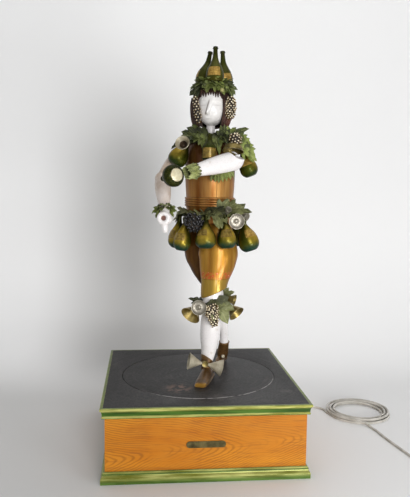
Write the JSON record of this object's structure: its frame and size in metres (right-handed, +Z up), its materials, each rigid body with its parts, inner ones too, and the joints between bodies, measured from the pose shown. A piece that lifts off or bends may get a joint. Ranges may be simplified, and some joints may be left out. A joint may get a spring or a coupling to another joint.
{
  "type": "musical automaton figure on a turntable base",
  "caption": "Musical automaton: a standing figure made of a barrel, bottles, funnels, cups, grapes and vine leaves turns on an oak-panelled base.",
  "frame": {"origin": "bottom centre of the base, on the surface it stands on", "axes": "+Z up, front panel and figure face -Y, +X to the viewer's right"},
  "size_m": [0.859, 0.6809, 1.0543],
  "materials": {
    "oak": "varnished oak, golden brown",
    "green_gilt": "green paint with gilt edges, satin",
    "slate_paint": "slate grey paint, satin, worn",
    "plywood": "plain board",
    "brass": "aged brass, satin",
    "steel": "brushed steel",
    "black_plastic": "black, matte",
    "grey_flex": "warm grey flex, satin",
    "barrel_gold": "golden brown stave paint, glossy",
    "breeches_gold": "golden paint with a red band, glossy",
    "white_composition": "white composition, satin gloss",
    "bottle_green": "olive green lacquer with a gold label, glossy",
    "silver": "silver, softly polished",
    "pewter": "pewter, satin",
    "vine_green": "leaf green, matte",
    "brown_hair": "dark brown hair, matte",
    "shoe_brown": "bronze brown, satin"
  },
  "bodies": {
    "base": {"cabinet_front": "oak", "cabinet_back": "oak", "cabinet_left": "oak", "cabinet_right": "oak", "top_moulding": "green_gilt", "plinth_moulding": "green_gilt", "top_board": "slate_paint", "bottom_board": "plywood", "name_plate": "brass", "cord_gland": "black_plastic", "cord_run": "grey_flex", "cord_coil": "grey_flex", "cord_tail": "grey_flex", "plug": "black_plastic", "centre_post": "steel", "gear_motor": "steel", "music_movement": "brass"},
    "turntable": {"turntable_disc": "slate_paint", "turntable_gear": "brass", "front_leg": "white_composition", "front_shoe": "shoe_brown", "rear_leg": "white_composition", "rear_shoe": "shoe_brown", "shoe_bow": "pewter", "breeches_front": "breeches_gold", "breeches_rear": "breeches_gold", "knee_garland": "vine_green", "knee_cup": "silver", "knee_funnel_left": "brass", "knee_funnel_right": "brass", "torso_barrel": "barrel_gold", "hip_garland": "vine_green", "hip_bottle_1": "bottle_green", "hip_bottle_2": "bottle_green", "hip_bottle_3": "bottle_green", "hip_bottle_4": "bottle_green", "hip_cup": "silver", "collar_garland": "vine_green", "shoulder_bottle_left": "bottle_green", "shoulder_bottle_right": "bottle_green", "chest_bottle": "bottle_green", "shoulder_funnel": "pewter", "shoulder_cap": "brass", "shoulder_yoke": "white_composition"},
    "rocker": {"rocker_switch": "black_plastic"},
    "pinion": {"drive_pinion": "brass"},
    "planet_cams": {"cam_drum": "brass"},
    "lever_left": {"cam_lever_left": "steel"},
    "lever_right": {"cam_lever_right": "steel"},
    "music_drum": {"music_cylinder": "brass"},
    "neck_column": {"neck": "white_composition"},
    "head_group": {"head": "white_composition", "wig": "brown_hair", "head_garland": "vine_green", "head_bottle_1": "bottle_green", "head_bottle_2": "bottle_green", "head_bottle_3": "bottle_green"},
    "arm_left": {"forearm_left": "white_composition", "hand_bottle": "bottle_green"},
    "arm_right": {"forearm_right": "white_composition"}
  },
  "joints": [
    {"name": "turntable_turn", "type": "hinge", "parent": "base", "child": "turntable", "pos_m": [0, 0, 0.1825], "axis": [0, 0, 1], "continuous": true},
    {"name": "pinion_turn", "type": "hinge", "parent": "base", "child": "pinion", "pos_m": [0.06711, 0.06042, 0.1632], "axis": [0, 0, 1], "continuous": true},
    {"name": "music_turn", "type": "hinge", "parent": "base", "child": "music_drum", "pos_m": [-0.086, 0.04965, 0.1], "axis": [0, 0, 1], "continuous": true},
    {"name": "cams_turn", "type": "hinge", "parent": "turntable", "child": "planet_cams", "pos_m": [0.0543, 0, 0.15], "axis": [0, 0, 1], "continuous": true},
    {"name": "lever_left_swing", "type": "hinge", "parent": "turntable", "child": "lever_left", "pos_m": [0.0043, 0.0548, 0.1462], "axis": [0, 0, 1], "range_deg": [0, 8]},
    {"name": "lever_right_swing", "type": "hinge", "parent": "turntable", "child": "lever_right", "pos_m": [0.0043, -0.0548, 0.1552], "axis": [0, 0, -1], "range_deg": [0, 8]},
    {"name": "neck_turn", "type": "hinge", "parent": "turntable", "child": "neck_column", "pos_m": [0.026, 0.004, 0.8223], "axis": [0, 0, 1], "range_deg": [-30, 30]},
    {"name": "head_nod", "type": "hinge", "parent": "neck_column", "child": "head_group", "pos_m": [0.026, 0.004, 0.8638], "axis": [1, 0, 0], "range_deg": [-5, 5]},
    {"name": "arm_left_lift", "type": "hinge", "parent": "turntable", "child": "arm_left", "pos_m": [0.076, -0.09, 0.758], "axis": [-0.5432, 0.8396, 0], "range_deg": [0, 25]},
    {"name": "arm_right_lift", "type": "hinge", "parent": "turntable", "child": "arm_right", "pos_m": [-0.1012, 0, 0.7115], "axis": [-1, 0, 0], "range_deg": [0, 20]},
    {"name": "rocker_tip", "type": "hinge", "parent": "base", "child": "rocker", "pos_m": [-0.15, 0.2495, 0.08], "axis": [1, 0, 0], "range_deg": [0, 14]}
  ],
  "couplings": [
    {"joint": "pinion_turn", "follows": "turntable_turn", "ratio": -4},
    {"joint": "music_turn", "follows": "turntable_turn", "ratio": -2.6667},
    {"joint": "cams_turn", "follows": "turntable_turn", "ratio": 1.4},
    {"joint": "lever_left_swing", "follows": "arm_left_lift", "ratio": 0.25},
    {"joint": "lever_right_swing", "follows": "arm_right_lift", "ratio": 0.3}
  ]
}
